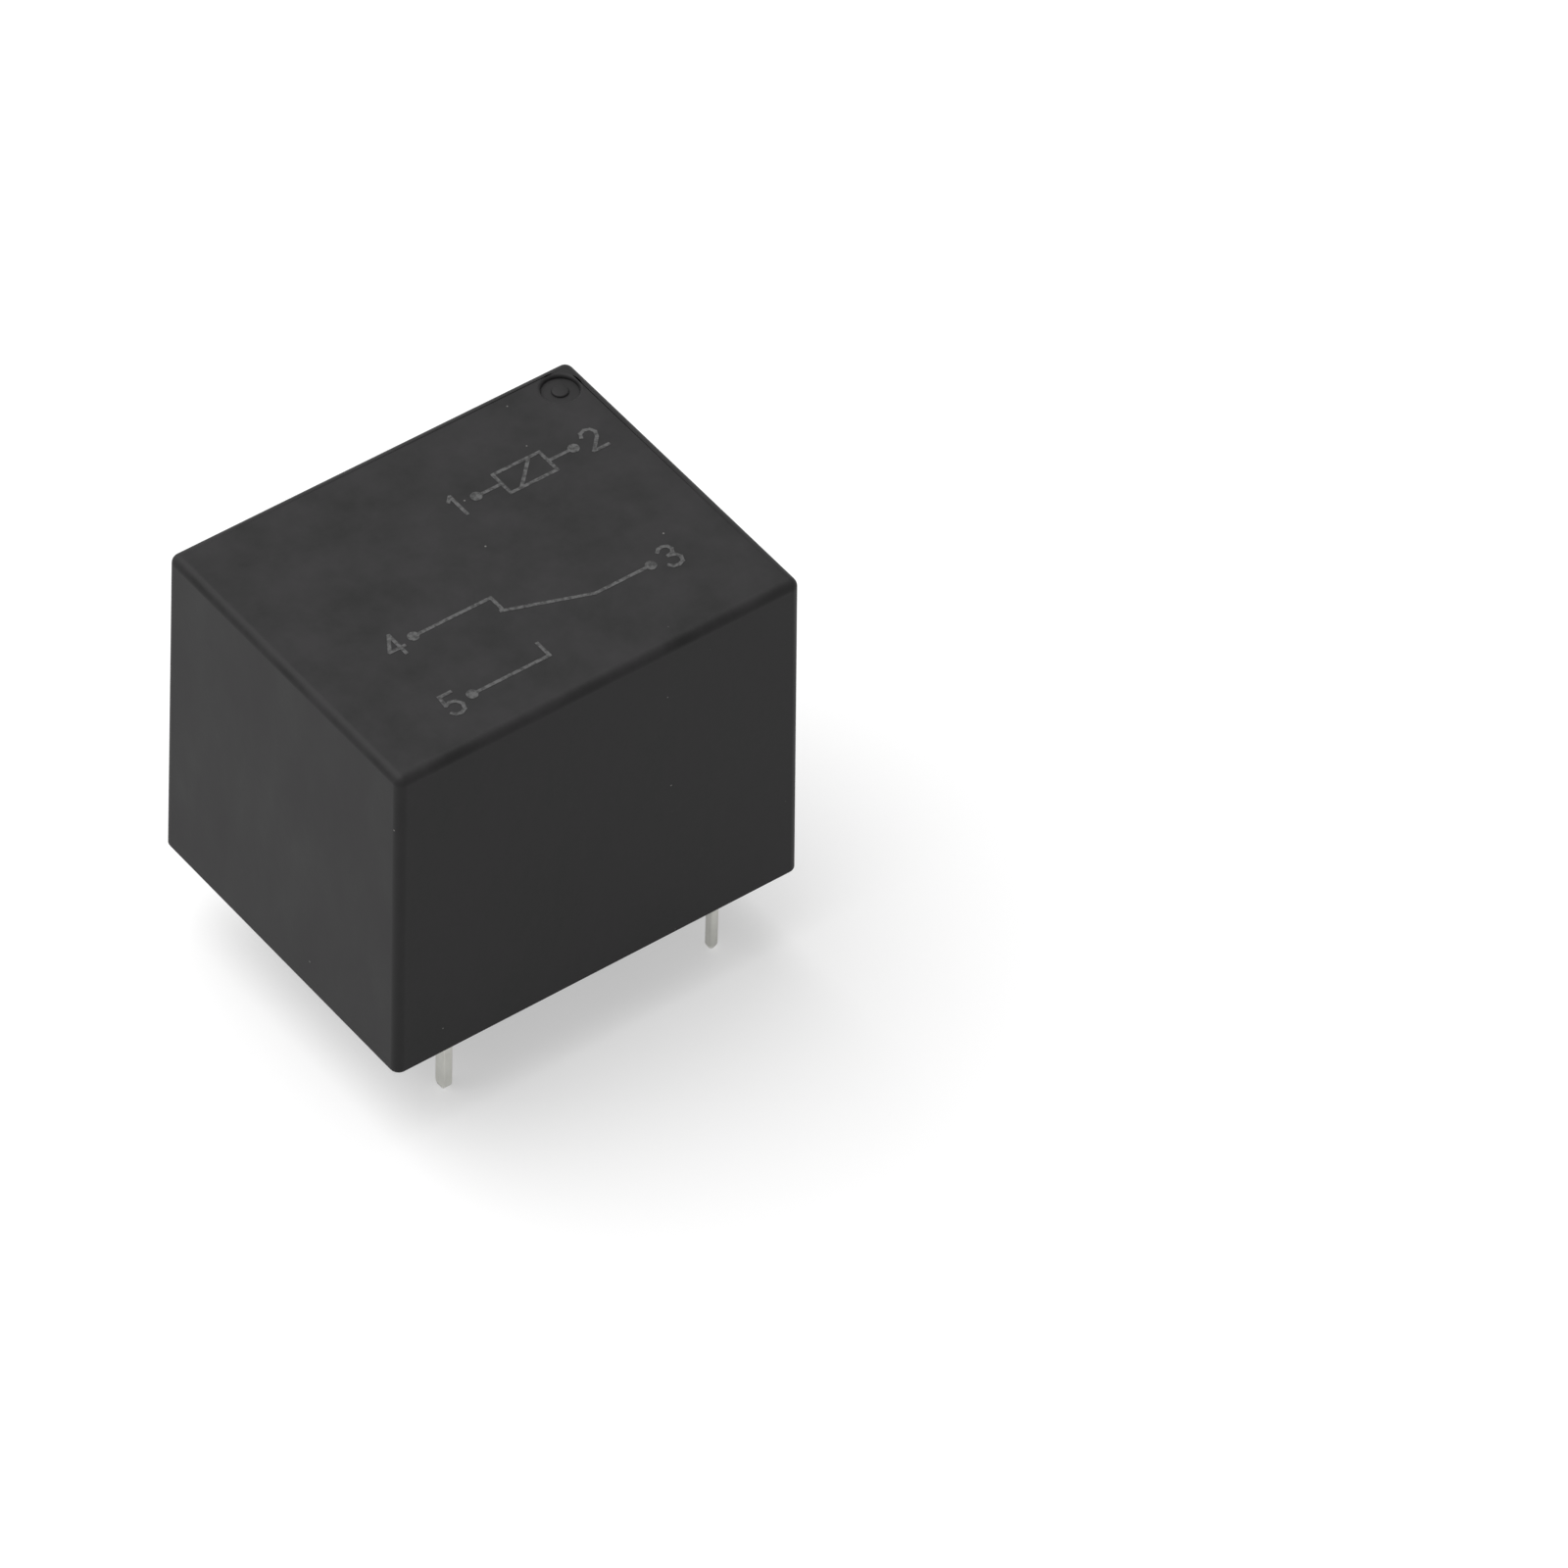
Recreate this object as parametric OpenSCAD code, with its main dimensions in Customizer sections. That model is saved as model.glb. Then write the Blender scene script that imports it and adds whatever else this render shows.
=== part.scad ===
// Sealed power relay for a circuit board, with a coil, a hinged armature and one changeover contact.
// X runs along the case towards the coil end, Y across it and Z up.
// The origin is the middle of the case's footprint, on the board.
// The armature is drawn as it rests with the coil switched off.

/* [Case] */
// Length of the case at its rim
case_l = 19.2; // [18:0.1:22]
// Width of the case at its rim
case_w = 15.5; // [15:0.1:18]
// Height of the case above the board
case_h = 15.6; // [14.5:0.1:19]
// Thickness of the side walls
case_wall = 0.85; // [0.7:0.05:1]
// Thickness of the roof
case_roof = 0.9; // [0.7:0.05:1.2]
// How far each side leans in between the rim and the roof
case_lean = 0.2; // [0.05:0.05:0.3]
// Radius of the outer edges and corners
case_edge_r = 0.4; // [0.2:0.05:0.6]
// Width of the ledge inside the rim that the base is pushed up against
ledge_w = 0.25; // [0.15:0.05:0.35]
// Distance of the vent from the two sides that it lies next to
vent_inset = 1.45; // [1.35:0.05:2.5]
// Diameter of the vent's dimple
vent_d = 1.5; // [1:0.1:2]
// Depth of the vent's dimple
vent_depth = 0.18; // [0.1:0.02:0.4]
// Diameter of the nib that closes the vent
vent_nib_d = 0.7; // [0.4:0.1:0.9]

/* [Base] */
// Thickness of the base plate
base_t = 1.3; // [1.1:0.1:1.6]
// Height of the base's underside above the board
base_recess = 0.5; // [0.4:0.05:0.7]
// Gap between the base and the case's rim
base_gap = 0.08; // [0.03:0.01:0.12]
// Height of the guides that hold the contact terminals upright
guide_h = 4.2; // [2:0.1:6]
// Thickness of one guide wall
guide_t = 0.6; // [0.4:0.05:0.8]
// Length of one guide wall across the case
guide_w = 2.4; // [1.5:0.1:3]
// Diameter of the ejector marks
ejector_d = 1.4; // [1:0.1:2]
// Depth of the ejector marks
ejector_depth = 0.1; // [0.05:0.01:0.2]
// Distance between the ejector marks along the case
ejector_pitch_x = 9.6; // [6:0.1:10]
// Distance between the ejector marks across the case
ejector_pitch_y = 6.1; // [4:0.1:7]

/* [Sealing resin] */
// Thickness of the resin under the base
resin_t = 0.3; // [0.2:0.05:0.35]
// Width of the resin border along the rim
resin_border = 1.9; // [1.2:0.1:2.4]
// Height of the waves in the border's edge
resin_wave = 0.25; // [0:0.05:0.4]
// Radius of the pool round each pin
resin_pool_r = 1.7; // [1:0.1:2]
// Diameter of the drop over the moulding gate
resin_drop_d = 4.1; // [3:0.1:4.5]
// Distance of the drop from the middle, towards the contact end
resin_drop_shift = 1.1; // [0:0.1:1.5]
// Height to which resin climbs each pin
resin_climb = 0.15; // [0.05:0.01:0.18]
// How far that climb spreads round the pin
resin_climb_w = 0.35; // [0.2:0.05:0.5]

/* [Pins] */
// Length of the pins below the board's surface
pin_len = 4; // [3:0.1:5]
// Distance of the outer pins from the case's long sides
pin_side_inset = 1.65; // [1.5:0.05:1.9]
// Distance of the contact pins from the case's contact end
contact_pin_inset = 3.45; // [3.2:0.05:4]
// Distance of the coil pins from the case's coil end
coil_pin_inset = 2.9; // [2.5:0.05:3.3]
// Diameter of a coil pin
coil_pin_d = 0.5; // [0.46:0.02:0.6]
// Width of a coil pin where it is pressed flat for the plastic to grip
coil_grip_w = 0.75; // [0.65:0.05:0.9]
// Thickness of a coil pin where it is pressed flat
coil_grip_t = 0.38; // [0.36:0.02:0.42]
// Height above the board at which a coil pin's flat stretch starts
coil_grip_z = 0.12; // [0.08:0.01:0.16]
// Height of a coil pin's winding post above the bobbin
coil_post_h = 1.4; // [1:0.1:2]
// Width of a contact pin
contact_pin_w = 0.6; // [0.5:0.05:0.8]
// Width of the common pin
common_pin_w = 0.6; // [0.5:0.05:0.9]
// Thickness of the terminal strip
terminal_t = 0.4; // [0.3:0.02:0.44]
// Gap between the common pin and the case's end wall
common_gap = 0.15; // [0.12:0.01:0.25]
// Width of the riveted plate of the common terminal
common_plate_w = 4.4; // [3.6:0.1:5]

/* [Magnet] */
// Thickness of the yoke
yoke_t = 1; // [0.8:0.05:1.2]
// Inner radius of the yoke's bend
yoke_bend_r = 0.3; // [0.2:0.05:0.5]
// Gap between the yoke and the coil pins
yoke_pin_gap = 0.85; // [0.6:0.05:1]
// Radius of the yoke's upper edge, on which the armature rocks
yoke_edge_r = 0.3; // [0.2:0.05:0.4]
// Diameter of the core
core_d = 4; // [3.4:0.1:4.6]
// Diameter of the core's spigot in the yoke
spigot_d = 2.8; // [2.2:0.1:3.2]
// Height of the core's staked end below the yoke
stake_h = 0.4; // [0.2:0.05:0.6]
// Diameter of the pole face
pole_d = 6.4; // [5.4:0.1:7]
// Thickness of the pole
pole_t = 0.8; // [0.6:0.05:1]
// Thickness of the armature
armature_t = 1; // [0.8:0.05:1.2]
// Width of the armature
armature_w = 8.8; // [7:0.1:9.6]
// Radius of the armature's front corners
armature_front_r = 1.5; // [0.5:0.1:2.5]
// Radius of the armature's rear edge, under the spring's bend
armature_heel_r = 0.8; // [0.7:0.05:0.9]
// How far the armature reaches past the pole
armature_lap = 0.5; // [0.2:0.1:0.8]
// Angle by which the armature stands open
open_angle = 2.6; // [1.6:0.1:3]

/* [Coil] */
// Thickness of the bobbin's flanges
flange_t = 0.8; // [0.6:0.05:1]
// Thickness of the bobbin's tube
tube_t = 0.7; // [0.5:0.05:0.9]
// Thickness of the barrier between coil and contacts
barrier_t = 0.6; // [0.4:0.05:0.8]
// Gap between the barrier and the contact terminals
barrier_gap = 0.9; // [0.7:0.1:1.2]
// Gap between the winding and the barrier
winding_gap = 0.1; // [0.05:0.05:0.3]
// Least distance of the winding from the flanges' long edges
winding_inset = 1.4; // [1.2:0.1:2]
// Width of one visible turn of the winding
turn_w = 0.36; // [0.3:0.02:0.5]
// Diameter of the coil wire's ends
lead_d = 0.16; // [0.12:0.01:0.2]
// Turns of the wire round each winding post
lead_turns = 4; // [2:1:5]

/* [Contacts] */
// Thickness of the contact spring
spring_t = 0.15; // [0.1:0.01:0.2]
// Width of the contact spring on the yoke
spring_w = 5; // [4:0.1:6]
// Inner radius of the contact spring's bend
spring_bend_r = 0.6; // [0.5:0.05:0.8]
// Width of the window in the contact spring's bend
spring_window_w = 2; // [1:0.1:2.4]
// Diameter of the moving contact
moving_contact_d = 2; // [1.6:0.1:2.2]
// Diameter of the fixed contacts
fixed_contact_d = 2.2; // [1.8:0.1:2.3]
// Height of each contact's head
contact_h = 0.45; // [0.35:0.05:0.55]
// Radius of the moving contact's domes
dome_r = 4; // [3:0.1:6]
// Diameter of the contacts' rivet shanks
shank_d = 1.1; // [0.8:0.1:1.3]
// Height of the fixed contacts' riveted tails
tail_h = 0.15; // [0.1:0.05:0.2]
// Radius of the rounded end of a contact tab
tab_r = 1.2; // [1.15:0.05:1.4]
// Inner radius of the bend in a contact terminal
tab_bend_r = 0.2; // [0.1:0.05:0.4]
// Distance of the contact terminals' plates from the middle of the case
plate_clear = 2.6; // [2:0.1:3.5]

/* [Rivets] */
// Diameter of the rivets in the yoke and the armature
rivet_d = 1; // [0.8:0.05:1.2]
// Diameter of a rivet's head
rivet_head_d = 1.7; // [1.4:0.1:2]
// Height of a rivet's head
rivet_head_h = 0.25; // [0.2:0.01:0.3]
// Distance between the two rivets in the yoke
yoke_rivet_pitch = 2.4; // [2.1:0.1:2.8]
// Distance between the two rivets in the armature
armature_rivet_pitch = 2.8; // [2.2:0.1:3.2]
// Distance of the yoke's rivets below the hinge
rivet_drop = 3.2; // [2.8:0.1:4]
// Distance from the armature's rivets to the hinge
armature_rivet_reach = 4; // [3:0.1:6]
// Metal left between a rivet's middle and the end of its plate
rivet_margin = 1.2; // [1:0.1:1.5]

/* [Clearances] */
// Gap round anything that fits into or onto another piece
fit = 0.03; // [0.01:0.01:0.05]
// Gap on each face of the spring, where it lies on its neighbours
spring_seat = 0.005; // [0.002:0.001:0.01]
// Gap under the armature when it is closed
hinge_gap = 0.03; // [0.02:0.01:0.05]
// Gap left between two contacts that have closed
contact_gap = 0.03; // [0.02:0.01:0.05]
// Gap between the case's roof and the contact below it
roof_gap = 0.2; // [0.1:0.05:0.3]
// Gap between the case's end walls and what lies next to them
end_gap = 0.15; // [0.1:0.01:0.2]
// Gap between the case's long sides and what lies next to them
side_gap = 0.1; // [0.05:0.01:0.15]
// Gap between the armature's rear end and the spring
heel_gap = 0.1; // [0.08:0.01:0.15]
// Gap between the rivet heads at the yoke and the case's end wall
back_gap = 0.05; // [0.03:0.01:0.1]

/* [Hidden] */
$fn = 48;
// Extra length that carries a cut clear through a face
cut = 0.1;
// Height of the thin discs that an outline is hulled from
film = 0.01;
// A length that reaches past the whole relay
far = case_l + case_w + case_h;

// A worked-out length in whole microns
function micron(v) = round(v * 1000) / 1000;

// Half the length and half the width inside the case at a height
function lean_at(z) = micron(case_lean * z / case_h);
function inside_x(z) = case_l / 2 - case_wall - lean_at(z);
function inside_y(z) = case_w / 2 - case_wall - lean_at(z);

// Levels of the case and the base
roof_z = case_h - case_roof;
base_top = base_recess + base_t;
rim_wall = case_wall - ledge_w;

// Places of the pins
pin_y = case_w / 2 - pin_side_inset;
contact_pin_x = contact_pin_inset - case_l / 2;
coil_pin_x = case_l / 2 - coil_pin_inset;
common_pin_x = inside_x(0) - common_gap - terminal_t / 2;

// The riveted stack of yoke, spring and common terminal along X
stack_x = inside_x(roof_z) - back_gap - rivet_head_h;
spring_out_x = stack_x - terminal_t;
yoke_back_x = spring_out_x - spring_t;
yoke_in_x = yoke_back_x - yoke_t;

// The coil, between the contact terminals and the yoke, as wide as the case's length and width let it be
flange_x0 = contact_pin_x + terminal_t / 2 + barrier_gap;
flange_x1 = yoke_in_x - fit;
flange_l = flange_x1 - flange_x0;
flange_half_w = inside_y(roof_z) - side_gap;
coil_x = micron((flange_x0 + flange_x1) / 2);
tube_r = core_d / 2 + fit + tube_t;
winding_r = min(flange_l / 2 - barrier_t - winding_gap, flange_half_w - winding_inset);
yoke_w = 2 * min(pin_y - coil_pin_d / 2 - yoke_pin_gap, winding_r);
stake_d = (core_d + spigot_d) / 2;

// The contacts and the hinge, worked down from the roof
contact_x = tab_r + end_gap - inside_x(roof_z);
hinge_x = yoke_back_x - yoke_edge_r;
armature_up = yoke_edge_r + hinge_gap + armature_t;
apex_up = armature_up + spring_t + contact_h;
contact_reach = hinge_x - contact_x;
apex_rise = contact_reach * sin(open_angle) + (apex_up - dome_r) * cos(open_angle) + dome_r;
nc_tab_z = roof_z - roof_gap - tail_h - terminal_t;
nc_face_z = nc_tab_z - contact_h;
hinge_z = micron(nc_face_z - contact_gap - apex_rise);
no_face_z = hinge_z + armature_up - contact_h - contact_gap;
no_tab_z = no_face_z - contact_h - terminal_t;
yoke_top = hinge_z + yoke_edge_r;
rivet_z = hinge_z - rivet_drop;

// Levels of the coil
leg_top = base_top + yoke_t;
lower_flange_top = leg_top + flange_t;
upper_flange_top = yoke_top - pole_t;
winding_top = upper_flange_top - flange_t;

// The armature's two ends, and its rivets, as it lies when closed
armature_x0 = coil_x - pole_d / 2 - armature_lap;
armature_x1 = yoke_back_x - heel_gap;
armature_z = hinge_z + yoke_edge_r + hinge_gap;
armature_rivet_x = hinge_x - armature_rivet_reach;

// Middle of the contact spring's bend as it rests
bend_x = yoke_back_x - spring_bend_r;
bend_z = hinge_z + (armature_up - spring_bend_r - (bend_x - hinge_x) * sin(open_angle)) / cos(open_angle);

// Rectangle with rounded corners
module rounded_rect(l, w, r) {
    square([l - 2 * r, w], center = true);
    square([l, w - 2 * r], center = true);
    for (sx = [-1, 1], sy = [-1, 1])
        translate([sx * (l / 2 - r), sy * (w / 2 - r)])
            circle(r);
}

// Outline drawn in X and Z, given a width along Y
module across(w) {
    rotate([90, 0, 0])
        linear_extrude(w, center = true)
            children();
}

// Outline drawn in Y and Z, given a thickness along X
module along(t) {
    rotate([90, 0, 90])
        linear_extrude(t, center = true)
            children();
}

// All that lies inside a strip's bend of a given radius about the origin
module bend_inside(r, rise) {
    circle(r);
    translate([-far, -far])
        square([far + r, far]);
    rotate(-rise)
        translate([-far, -far])
            square([far, far + r]);
}

// Endless strip bent about the origin, with one leg down and one towards -X, rising at an angle
module bent_strip(r, t, rise = 0) {
    difference() {
        bend_inside(r + t, rise);
        bend_inside(r, rise);
    }
}

// Corner between +X and +Y that a rounding about the origin takes away
module rounding(r) {
    difference() {
        square(r + cut);
        circle(r);
    }
}

// Turns what is drawn closed about the hinge to where it rests
module opened() {
    translate([hinge_x, 0, hinge_z])
        rotate([0, open_angle, 0])
            translate([-hinge_x, 0, -hinge_z])
                children();
}

// Rivet with its head up and its shank down from the origin
module rivet(length) {
    rotate_extrude()
        polygon([
            [0, -length],
            [rivet_d / 2, -length],
            [rivet_d / 2, 0],
            [rivet_head_d / 2, 0],
            [rivet_head_d / 2, rivet_head_h / 2],
            [rivet_d / 2, rivet_head_h],
            [0, rivet_head_h]
        ]);
}

// Blade of a pin from its tip, rounded across the strip and bevelled through it, up to a height
module blade(w, top) {
    tip = terminal_t / 4;
    intersection() {
        along(terminal_t) {
            translate([-w / 2, w / 2 - pin_len])
                square([w, top + pin_len - w / 2]);
            translate([0, w / 2 - pin_len])
                circle(w / 2);
        }
        across(w + 2 * cut)
            polygon([
                [-tip, -pin_len],
                [tip, -pin_len],
                [2 * tip, tip - pin_len],
                [2 * tip, top],
                [-2 * tip, top],
                [-2 * tip, tip - pin_len]
            ]);
    }
}

// Holes for the three blades through a plate
module blade_holes(z, h) {
    for (side = [-1, 1])
        translate([contact_pin_x, side * pin_y, z + h / 2])
            cube([terminal_t + 2 * fit, contact_pin_w + 2 * fit, h], center = true);
    translate([common_pin_x, 0, z + h / 2])
        cube([terminal_t + 2 * fit, common_pin_w + 2 * fit, h], center = true);
}

// Holes for the flat stretches of the two coil pins through a plate
module grip_holes(z, h) {
    for (side = [-1, 1])
        translate([coil_pin_x, side * pin_y, z + h / 2])
            cube([coil_grip_w + 2 * fit, coil_grip_t + 2 * fit, h], center = true);
}

// Block with rounded edges whose sides lean in towards its top
module case_block() {
    x = case_l / 2 - case_edge_r;
    y = case_w / 2 - case_edge_r;
    hull() {
        for (sx = [-1, 1], sy = [-1, 1]) {
            translate([sx * x, sy * y, 0])
                cylinder(h = film, r = case_edge_r, $fn = 32);
            translate([sx * (x - case_lean), sy * (y - case_lean), case_h - case_edge_r])
                rotate_extrude($fn = 32)
                    intersection() {
                        circle(case_edge_r, $fn = 32);
                        translate([0, -case_edge_r])
                            square([case_edge_r, 2 * case_edge_r]);
                    }
        }
    }
}

// Room inside the case, from the ledge up to the roof
module case_room() {
    hull() {
        for (sx = [-1, 1], sy = [-1, 1], z = [base_top, roof_z - film])
            translate([sx * (inside_x(z) - case_edge_r), sy * (inside_y(z) - case_edge_r), z])
                cylinder(h = film, r = case_edge_r, $fn = 32);
    }
}

// Moulded case, open below, with a ledge for the base and a vent in its roof
module cover() {
    vent_x = case_l / 2 - vent_inset;
    vent_y = case_w / 2 - vent_inset;
    color("#3a3a3b") {
        difference() {
            case_block();
            case_room();
            translate([0, 0, -cut])
                linear_extrude(base_top + cut)
                    rounded_rect(case_l - 2 * rim_wall, case_w - 2 * rim_wall, case_edge_r);
            translate([vent_x, vent_y, case_h - vent_depth])
                difference() {
                    cylinder(h = vent_depth + cut, d = vent_d);
                    cylinder(h = vent_depth / 2, d = vent_nib_d);
                }
        }
    }
}

// Moulded base with guides for the contact terminals and a pocket for the core's staked end
module base() {
    guide_y = pin_y + contact_pin_w / 2 - guide_w / 2;
    color("#424243")
        difference() {
            union() {
                translate([0, 0, base_recess])
                    linear_extrude(base_t)
                        rounded_rect(
                            case_l - 2 * (rim_wall + base_gap),
                            case_w - 2 * (rim_wall + base_gap),
                            case_edge_r
                        );
                for (side = [-1, 1], face = [-1, 1])
                    translate([
                        contact_pin_x + face * (terminal_t / 2 + fit + guide_t / 2),
                        side * guide_y,
                        base_top + guide_h / 2
                    ])
                        cube([guide_t, guide_w, guide_h], center = true);
            }
            blade_holes(base_recess - cut, base_t + 2 * cut);
            grip_holes(base_recess - cut, base_t + 2 * cut);
            translate([coil_x, 0, base_top - stake_h - fit])
                cylinder(h = stake_h + fit + cut, d = stake_d + 2 * fit);
            for (sx = [-1, 1], sy = [-1, 1])
                translate([sx * ejector_pitch_x / 2, sy * ejector_pitch_y / 2, base_recess - cut])
                    cylinder(h = ejector_depth + cut, d = ejector_d);
        }
}

// Edge of the resin border: a rounded rectangle that the flow has left wavy
function resin_edge_wave(t) = resin_wave * (sin(4 * t + 30) + sin(7 * t)) / 2;
function resin_corner(v) = sign(v) * pow(abs(v), 1 / 3);
function resin_edge(t) = [
    resin_corner(cos(t)) * (case_l / 2 - rim_wall - resin_border - resin_edge_wave(t)),
    resin_corner(sin(t)) * (case_w / 2 - rim_wall - resin_border - resin_edge_wave(t))
];

// Edge of the drop, a rounded blob
function drop_edge(t) = resin_drop_d / 2 * (1 + sin(2 * t + 20) / 9 + sin(3 * t + 70) / 14) * [cos(t), sin(t)];

// Outline of all the resin, seen from above
module resin_outline() {
    intersection() {
        rounded_rect(case_l - 2 * (rim_wall + fit), case_w - 2 * (rim_wall + fit), case_edge_r);
        union() {
            difference() {
                square([case_l, case_w], center = true);
                polygon([for (t = [0:5:355]) resin_edge(t)]);
            }
            for (side = [-1, 1], x = [contact_pin_x, coil_pin_x])
                translate([x, side * pin_y])
                    circle(resin_pool_r);
            translate([common_pin_x, 0])
                circle(resin_pool_r);
            translate([-resin_drop_shift, 0])
                polygon([for (t = [0:12:348]) drop_edge(t)]);
        }
    }
}

// Resin poured round the rim and the pins, which climbs the pins a little, and a drop over the gate
module sealing_resin() {
    resin_z = base_recess - resin_t;
    color("#262627")
        difference() {
            union() {
                translate([0, 0, resin_z])
                    linear_extrude(resin_t)
                        resin_outline();
                for (side = [-1, 1]) {
                    translate([coil_pin_x, side * pin_y, resin_z - resin_climb])
                        resin_cone(coil_grip_w);
                    translate([contact_pin_x, side * pin_y, resin_z - resin_climb])
                        resin_cone(contact_pin_w);
                }
                translate([common_pin_x, 0, resin_z - resin_climb])
                    intersection() {
                        resin_cone(common_pin_w);
                        translate([case_l / 2 - rim_wall - fit - common_pin_x - case_l, -case_w / 2, 0])
                            cube([case_l, case_w, case_h]);
                    }
            }
            blade_holes(0, base_recess + cut);
            grip_holes(coil_grip_z - fit, base_recess + cut);
            for (side = [-1, 1])
                translate([coil_pin_x, side * pin_y, 0])
                    cylinder(h = coil_grip_z, d = coil_pin_d + 2 * fit);
        }
}

// Resin that has climbed a pin of a given width
module resin_cone(w) {
    cylinder(h = resin_climb, d1 = w + 2 * fit + resin_climb_w, d2 = w + 2 * (fit + resin_climb_w));
}

// Bobbin that carries the winding, with ears for the coil pins, a barrier on the contact side
// and an edge that is bevelled to clear the yoke's bend
module bobbin() {
    ear_l = 2 * coil_grip_w;
    ear_half_w = inside_y(lower_flange_top) - side_gap;
    ear_w = ear_half_w - yoke_w / 2 - fit;
    color("#d9d2bd")
        difference() {
            union() {
                for (z = [leg_top, winding_top])
                    translate([coil_x, 0, z])
                        linear_extrude(flange_t)
                            rounded_rect(flange_l, 2 * flange_half_w, barrier_t);
                translate([coil_x, 0, leg_top])
                    cylinder(h = upper_flange_top - leg_top, r = tube_r);
                translate([flange_x0, -flange_half_w + barrier_t, leg_top])
                    cube([barrier_t, 2 * (flange_half_w - barrier_t), upper_flange_top - leg_top]);
                for (side = [-1, 1])
                    translate([coil_pin_x, side * (ear_half_w - ear_w / 2), (base_top + lower_flange_top) / 2])
                        cube([ear_l, ear_w, lower_flange_top - base_top], center = true);
            }
            translate([coil_x, 0, leg_top - cut])
                cylinder(h = upper_flange_top - leg_top + 2 * cut, r = core_d / 2 + fit);
            grip_holes(base_top - cut, lower_flange_top - base_top + 2 * cut);
            translate([yoke_in_x, 0, leg_top])
                across(yoke_w + 2 * fit)
                    polygon([
                        [-yoke_bend_r - cut, -cut],
                        [cut, -cut],
                        [cut, yoke_bend_r + cut]
                    ]);
        }
}

// Copper winding, whose outer turns show as ridges
module coil_winding() {
    height = winding_top - lower_flange_top - 2 * fit;
    turns = floor(height / turn_w);
    pitch = height / turns;
    color("#a8552e")
        translate([coil_x, 0, lower_flange_top + fit])
            rotate_extrude() {
                translate([tube_r + fit, 0])
                    square([winding_r - pitch / 2 - tube_r - fit, height]);
                for (i = [0:turns - 1])
                    translate([winding_r - pitch / 2, (i + 0.5) * pitch])
                        circle(pitch / 2);
            }
}

// Ends of the coil wire, wrapped round the winding posts and led across to the winding
module coil_leads() {
    wrap_r = coil_pin_d / 2 + fit;
    core_w = lead_d * 0.6;
    run_z = lower_flange_top + fit + lead_d * lead_turns / 2;
    run_l = norm([coil_pin_x - coil_x, pin_y]) - wrap_r - winding_r - fit;
    color("#b06a3a")
        for (side = [-1, 1])
            translate([coil_pin_x, side * pin_y, 0]) {
                translate([0, 0, lower_flange_top + fit])
                    rotate_extrude() {
                        translate([wrap_r, 0])
                            square([core_w, lead_d * lead_turns]);
                        for (i = [0:lead_turns - 1])
                            translate([wrap_r + core_w, (i + 0.5) * lead_d])
                                circle(lead_d / 2);
                    }
                rotate([0, 0, side * atan2(pin_y, coil_pin_x - coil_x) + 180])
                    translate([wrap_r + lead_d / 2, 0, run_z])
                        rotate([0, 90, 0])
                            cylinder(h = run_l - lead_d / 2, d = lead_d);
            }
}

// Turned core, with its pole above the bobbin and its spigot staked under the yoke
module core() {
    color("#8f9194")
        translate([coil_x, 0, 0])
            rotate_extrude()
                polygon([
                    [0, base_top - stake_h],
                    [spigot_d / 2, base_top - stake_h],
                    [stake_d / 2, base_top],
                    [spigot_d / 2, base_top],
                    [spigot_d / 2, leg_top],
                    [core_d / 2, leg_top],
                    [core_d / 2, upper_flange_top],
                    [pole_d / 2, upper_flange_top],
                    [pole_d / 2, yoke_top - pole_t / 4],
                    [pole_d / 2 - pole_t / 4, yoke_top],
                    [0, yoke_top]
                ]);
}

// Bent yoke: a leg under the coil and an upright whose rounded upper edge is the hinge
module yoke() {
    bend_out_r = yoke_bend_r + yoke_t;
    color("#8a8c90")
        difference() {
            union() {
                across(yoke_w)
                    difference() {
                        intersection() {
                            translate([yoke_back_x - bend_out_r, base_top + bend_out_r])
                                mirror([0, 1])
                                    bent_strip(yoke_bend_r, yoke_t);
                            translate([coil_x, 0])
                                square([far, yoke_top]);
                        }
                        translate([hinge_x, hinge_z])
                            rounding(yoke_edge_r);
                    }
                translate([coil_x, 0, base_top])
                    cylinder(h = yoke_t, d = yoke_w);
            }
            translate([coil_x, 0, base_top - cut])
                cylinder(h = yoke_t + 2 * cut, d = spigot_d + 2 * fit);
            yoke_rivet_holes();
        }
}

// Holes for the yoke's rivets, through all that they join
module yoke_rivet_holes() {
    for (side = [-1, 1])
        translate([yoke_in_x - cut, side * yoke_rivet_pitch / 2, rivet_z])
            rotate([0, 90, 0])
                cylinder(h = stack_x - yoke_in_x + 2 * cut, d = rivet_d + 2 * fit);
}

// Two rivets that hold the spring and the common terminal on the yoke
module yoke_rivets() {
    color("#a9a9a4")
        for (side = [-1, 1])
            translate([stack_x, side * yoke_rivet_pitch / 2, rivet_z])
                rotate([0, 90, 0])
                    rivet(stack_x - yoke_in_x - fit);
}

// Common terminal: a plate riveted to the yoke, set outwards above the base to line up with its pin
module common_terminal() {
    step_z0 = base_top + terminal_t;
    step_z1 = step_z0 + 2 * terminal_t;
    pin_out_x = common_pin_x + terminal_t / 2;
    color("#b4b4b2")
        difference() {
            union() {
                across(common_plate_w)
                    polygon([
                        [pin_out_x - terminal_t, base_top],
                        [pin_out_x, base_top],
                        [pin_out_x, step_z0],
                        [stack_x, step_z1],
                        [stack_x, rivet_z + rivet_margin],
                        [spring_out_x, rivet_z + rivet_margin],
                        [spring_out_x, step_z1],
                        [pin_out_x - terminal_t, step_z0]
                    ]);
                translate([common_pin_x, 0, 0])
                    blade(common_pin_w, base_top + terminal_t);
            }
            yoke_rivet_holes();
        }
}

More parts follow.
